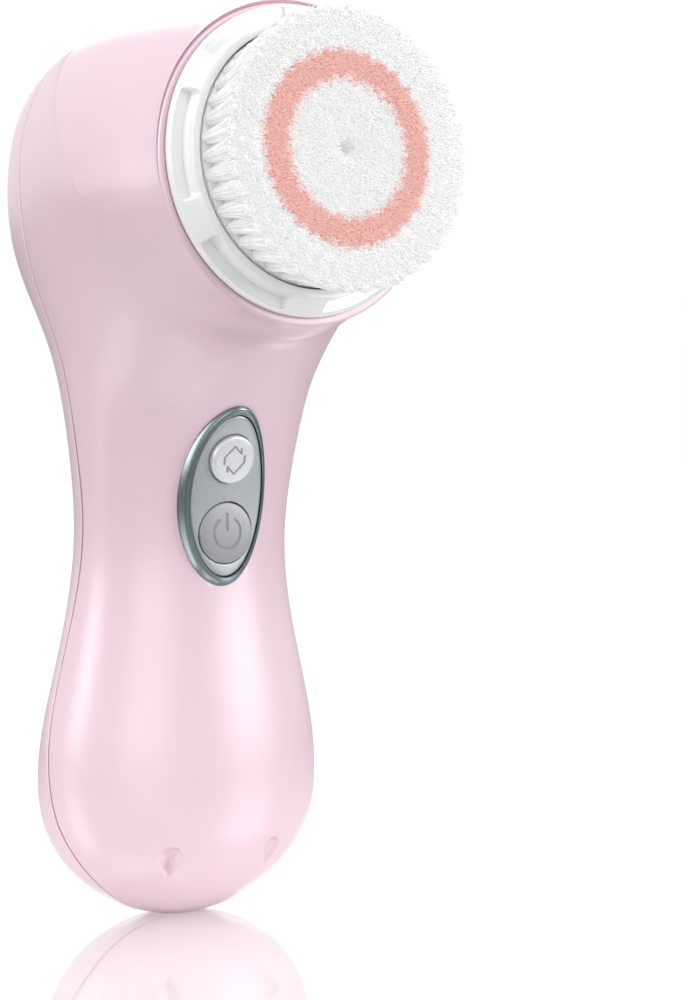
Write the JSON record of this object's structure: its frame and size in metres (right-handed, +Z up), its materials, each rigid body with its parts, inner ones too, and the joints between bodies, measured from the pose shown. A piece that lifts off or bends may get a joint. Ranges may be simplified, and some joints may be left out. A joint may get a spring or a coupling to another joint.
{
  "type": "facial cleansing brush",
  "caption": "Hand-held powered cleansing brush with a waisted pink handle, a two-button panel and a round oscillating bristle head in a clear ring.",
  "frame": {"origin": "centre of the small flat under the handle, which the brush stands on", "axes": "+Z up the handle, -Y the side the brush faces, +X across; X = 0 is the plane of symmetry"},
  "size_m": [0.0546, 0.0715, 0.1361],
  "materials": {
    "pearl_pink": "pearly satin",
    "silver": "satin silver lacquer on plastic",
    "grey_trim": "satin",
    "clear": "clear moulded plastic",
    "aluminium": "die cast",
    "white_plastic": "satin",
    "white_filament": "fine nylon filament",
    "pink_filament": "fine nylon filament",
    "steel": "turned",
    "laminations": "stacked sheet",
    "copper": "enamelled winding",
    "magnet": "nickel plated",
    "ferrite": "sintered",
    "circuit_board": "solder mask",
    "black_plastic": "satin",
    "grey_rubber": "matt",
    "battery_wrap": "aluminium can in a printed sleeve",
    "red_wire": "satin insulation",
    "black_wire": "satin insulation"
  },
  "bodies": {
    "handle": {"front_casing": "pearl_pink", "rear_casing": "pearl_pink", "casing_seal": "grey_rubber", "panel_bezel": "grey_trim", "panel_plate": "silver", "button_membrane": "grey_rubber", "power_switch": "black_plastic", "mode_switch": "black_plastic", "main_pcb": "circuit_board", "control_chip": "black_plastic", "battery_cell_left": "battery_wrap", "battery_cell_right": "battery_wrap", "battery_tab_left": "steel", "battery_tab_right": "steel", "battery_strap": "steel", "battery_cradle": "black_plastic", "alignment_magnet_left": "magnet", "alignment_magnet_right": "magnet", "charge_coil": "copper", "charge_ferrite": "ferrite", "head_cup": "white_plastic", "drive_seal": "grey_rubber", "front_bearing": "steel", "rear_bearing": "steel", "torsion_bar": "steel", "motor_frame": "aluminium", "motor_screw_1": "steel", "motor_screw_2": "steel", "motor_screw_3": "steel", "motor_screw_4": "steel", "stator_core": "laminations", "stator_coil": "copper", "motor_lead_1": "red_wire", "motor_lead_2": "black_wire", "battery_lead_1": "red_wire", "battery_lead_2": "black_wire", "charge_lead_1": "copper", "charge_lead_2": "copper"},
    "rotor": {"drive_hub": "white_plastic", "drive_shaft": "steel", "armature": "laminations", "magnet_left": "magnet", "magnet_right": "magnet"},
    "inner_brush": {"inner_tuft_disc": "white_plastic", "pink_bristles": "pink_filament", "white_bristles": "white_filament"},
    "outer_brush": {"outer_tuft_carrier": "clear", "outer_bristles": "white_filament"},
    "retainer": {"retainer_ring": "clear"},
    "mode_button": {"mode_button": "silver"},
    "power_button": {"power_button": "silver"}
  },
  "joints": [
    {"name": "rotor_oscillation", "type": "hinge", "parent": "handle", "child": "rotor", "pos_m": [0, -0.03345, 0.1134], "axis": [0, -0.9895, 0.1444], "range_deg": [-7, 7], "stiffness_Nm_per_rad": 0.05},
    {"name": "brush_head_pull_off", "type": "slide", "parent": "handle", "child": "outer_brush", "axis": [0, -0.9895, 0.1444], "range_m": [0, 0.025]},
    {"name": "retainer_lock_turn", "type": "hinge", "parent": "outer_brush", "child": "retainer", "pos_m": [0, -0.03345, 0.1134], "axis": [0, -0.9895, 0.1444], "range_deg": [0, 22]},
    {"name": "inner_brush_pull_off", "type": "slide", "parent": "rotor", "child": "inner_brush", "axis": [0, -0.9895, 0.1444], "range_m": [0, 0.025]},
    {"name": "mode_button_press", "type": "slide", "parent": "handle", "child": "mode_button", "axis": [0, 0.9767, 0.2147], "range_m": [0, 0.0005], "stiffness_N_per_m": 1500},
    {"name": "power_button_press", "type": "slide", "parent": "handle", "child": "power_button", "axis": [0, 1, 0], "range_m": [0, 0.0005], "stiffness_N_per_m": 1500}
  ],
  "couplings": [
    {"joint": "inner_brush_pull_off", "follows": "brush_head_pull_off", "ratio": 1}
  ]
}
